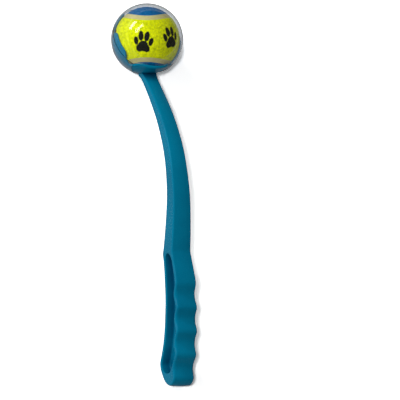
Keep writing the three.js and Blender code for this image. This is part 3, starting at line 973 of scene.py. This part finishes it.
# Studio: white paper that fades into a white backdrop. Two long softboxes on the left leave two streaks
# on the cover, a small lamp beside the camera draws a close, soft shadow, and a broad one fills in from
# the left. Lengths are in metres, and directions are in the camera's right, up and back.
LAMP_DISTANCE = 2.5
STREAK_SHARE = 0.17
FRONT_LAMP = 1.1
FRONT_LAMP_ANGLE = math.radians(4)
FILL_LAMP = 1.15
FILL_LAMP_ANGLE = math.radians(50)
AMBIENT = 0.18
CEILING = 0.1
SKYLINE = (-0.05, 0.12)
STAGE_RADIUS = 1.6
STAGE_SIDES = 96
FADE_START = 0.45
FADE_END = 0.9
# How bright the paper is to the camera, through the cover, mirrored and as a light on the thrower.
PAPER_SEEN = 2.0
PAPER_THROUGH = 1.05
PAPER_MIRROR = 0.35
PAPER_BOUNCE = 0.35
camera_axes = np.array(facing.to_3x3())
# Each long softbox: the directions of its two ends, and its radiance.
streaks = [
    ((-0.501, 0.793, 0.346), (-0.775, 0.465, 0.429), 15),
    ((-0.202, 0.728, 0.655), (-0.572, 0.333, 0.75), 9),
]
front_lamp_at = (-0.065, 0.06, 1)
fill_lamp_at = (-0.8, -0.14, 0.55)


def softbox(name, start, end, share, radiance):
    """An area lamp that reaches from one direction to another, as the ball sees them."""
    start, end = np.array(start), np.array(end)
    middle = (start + end) / np.linalg.norm(start + end)
    along = (end - start) - middle * np.dot(end - start, middle)
    lamp = bpy.data.lights.new(name, "AREA")
    lamp.shape = "RECTANGLE"
    lamp.size = np.linalg.norm(along) * LAMP_DISTANCE
    lamp.size_y = share * LAMP_DISTANCE
    lamp.energy = radiance * math.pi * lamp.size * lamp.size_y
    along = along / np.linalg.norm(along)
    axes = camera_axes @ np.column_stack([along, np.cross(middle, along), middle])
    spot = ball_centre + camera_axes @ middle * LAMP_DISTANCE
    put = new_object(name, lamp)
    put.matrix_world = Matrix.Translation(Vector(spot)) @ Matrix(axes.tolist()).to_4x4()


for i, (start, end, radiance) in enumerate(streaks):
    softbox(f"softbox_left_{i + 1}", start, end, STREAK_SHARE, radiance)


def far_lamp(name, place, strength, angle):
    """A lamp far off in one direction, that no surface mirrors."""
    lamp = bpy.data.lights.new(name, "SUN")
    lamp.energy = strength
    lamp.angle = angle
    put = new_object(name, lamp)
    put.matrix_world = Vector(camera_axes @ place).to_track_quat("Z", "Y").to_matrix().to_4x4()
    put.visible_glossy = False
    put.visible_transmission = False


far_lamp("lamp_beside_camera", front_lamp_at, FRONT_LAMP, FRONT_LAMP_ANGLE)
far_lamp("fill_from_left", fill_lamp_at, FILL_LAMP, FILL_LAMP_ANGLE)


def how_seen(tree):
    """What a ray is, whether it came straight through the cover, and whether the camera sees by it."""
    ray = add(tree, "ShaderNodeLightPath").outputs
    through = add(tree, "ShaderNodeMath", {
        0: ray["Is Transmission Ray"], 1: ray["Glossy Depth"]}, operation="SUBTRACT", use_clamp=True)
    looked_at = add(tree, "ShaderNodeMath", {
        0: ray["Is Camera Ray"], 1: through.outputs[0]}, operation="MAXIMUM")
    return ray, through.outputs[0], looked_at.outputs[0]


world = bpy.data.worlds.new("studio")
world.use_nodes = True
sky_tree = world.node_tree
sky_tree.nodes.clear()
heading = add(sky_tree, "ShaderNodeTexCoord").outputs["Generated"]
height = add(sky_tree, "ShaderNodeSeparateXYZ", {0: heading})
mirrored = add(sky_tree, "ShaderNodeMapRange", {
    "Value": height.outputs["Z"], "From Min": SKYLINE[0], "From Max": SKYLINE[1],
    "To Min": 1.0, "To Max": CEILING})
ray, through, looked_at = how_seen(sky_tree)
glossy = add(sky_tree, "ShaderNodeMix", {
    "Factor": ray["Is Glossy Ray"], 2: AMBIENT, 3: mirrored.outputs[0]})
level = add(sky_tree, "ShaderNodeMix", {"Factor": looked_at, 2: glossy.outputs[0], 3: 1.0})
sky = add(sky_tree, "ShaderNodeBackground", {"Color": linear("#FFFFFF"), "Strength": level.outputs[0]})
add(sky_tree, "ShaderNodeOutputWorld", {"Surface": sky.outputs[0]})
bpy.context.scene.world = world


def seamless_paper():
    """Seamless white paper: matt, with the object's shadow, fading into the backdrop's white. Seen from
    below it is clear, so that it never hides the object."""
    material, place = new_material("seamless_paper")
    tree = material.node_tree
    ray, through, looked_at = how_seen(tree)
    mirrored = add(tree, "ShaderNodeMath", {
        0: ray["Is Glossy Ray"], 1: looked_at}, operation="SUBTRACT", use_clamp=True)
    seen = add(tree, "ShaderNodeMath", {
        0: ray["Is Camera Ray"], 1: PAPER_SEEN - PAPER_BOUNCE, 2: PAPER_BOUNCE}, operation="MULTIPLY_ADD")
    share = add(tree, "ShaderNodeMath", {
        0: through, 1: PAPER_THROUGH - PAPER_BOUNCE, 2: seen.outputs[0]}, operation="MULTIPLY_ADD")
    paper = add(tree, "ShaderNodeBsdfDiffuse", {"Color": share.outputs[0]})
    level = add(tree, "ShaderNodeMapRange", {
        "Value": mirrored.outputs[0], "To Min": 1.0, "To Max": PAPER_MIRROR})
    white = add(tree, "ShaderNodeEmission", {"Color": linear("#FFFFFF"), "Strength": level.outputs[0]})
    away = add(tree, "ShaderNodeVectorMath", {0: place}, operation="LENGTH")
    fade = add(tree, "ShaderNodeMapRange", {
        "Value": away.outputs["Value"], "From Min": FADE_START, "From Max": FADE_END})
    faded = add(tree, "ShaderNodeMath", {0: fade.outputs[0], 1: looked_at}, operation="MULTIPLY")
    whitened = add(tree, "ShaderNodeMath", {
        0: faded.outputs[0], 1: mirrored.outputs[0]}, operation="MAXIMUM")
    bright = add(tree, "ShaderNodeMixShader", {
        0: whitened.outputs[0], 1: paper.outputs[0], 2: white.outputs[0]})
    side = add(tree, "ShaderNodeNewGeometry")
    below = add(tree, "ShaderNodeBsdfTransparent")
    both = add(tree, "ShaderNodeMixShader", {
        0: side.outputs["Backfacing"], 1: bright.outputs[0], 2: below.outputs[0]})
    return finish_material(material, both.outputs[0])


floor_mesh = bpy.data.meshes.new("floor")
ring = np.linspace(0, 2 * math.pi, STAGE_SIDES, endpoint=False)
rim = STAGE_RADIUS * np.column_stack([np.cos(ring), np.sin(ring), np.zeros(STAGE_SIDES)])
floor_mesh.from_pydata(rim.tolist(), [], [tuple(range(STAGE_SIDES))])
floor_mesh.materials.append(seamless_paper())
floor = new_object("floor", floor_mesh)
